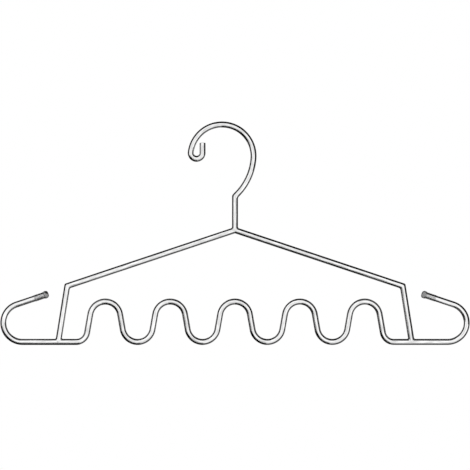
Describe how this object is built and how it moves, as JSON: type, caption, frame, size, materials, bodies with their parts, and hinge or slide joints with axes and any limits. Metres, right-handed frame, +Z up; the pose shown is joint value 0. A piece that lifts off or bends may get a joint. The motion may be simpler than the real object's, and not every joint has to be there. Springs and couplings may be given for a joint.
{
  "type": "hanging drying rack",
  "caption": "Flat welded wire hanger with a wardrobe hook, sloping shoulders, a wave rail for scarves, ties or belts, and open end hooks with soft caps.",
  "frame": {"origin": "rod seat: the highest point of the top hook's inner side, where the hanger bears on a rail", "axes": "+X along the hanger's width, to the right in the picture; +Y away from the viewer, through the thickness; +Z up"},
  "size_m": [0.42, 0.0074, 0.1999],
  "materials": {
    "bright_steel": "bright drawn stainless steel rod, polished",
    "weld_steel": "polished weld bead",
    "soft_cap": "soft translucent grey vinyl"
  },
  "bodies": {
    "root": {"hook_wire": "bright_steel", "shoulder_wire": "bright_steel", "wave_rail": "bright_steel", "neck_weld": "weld_steel", "left_leg_weld": "weld_steel", "right_leg_weld": "weld_steel", "left_tip_cap": "soft_cap", "right_tip_cap": "soft_cap"}
  },
  "joints": []
}
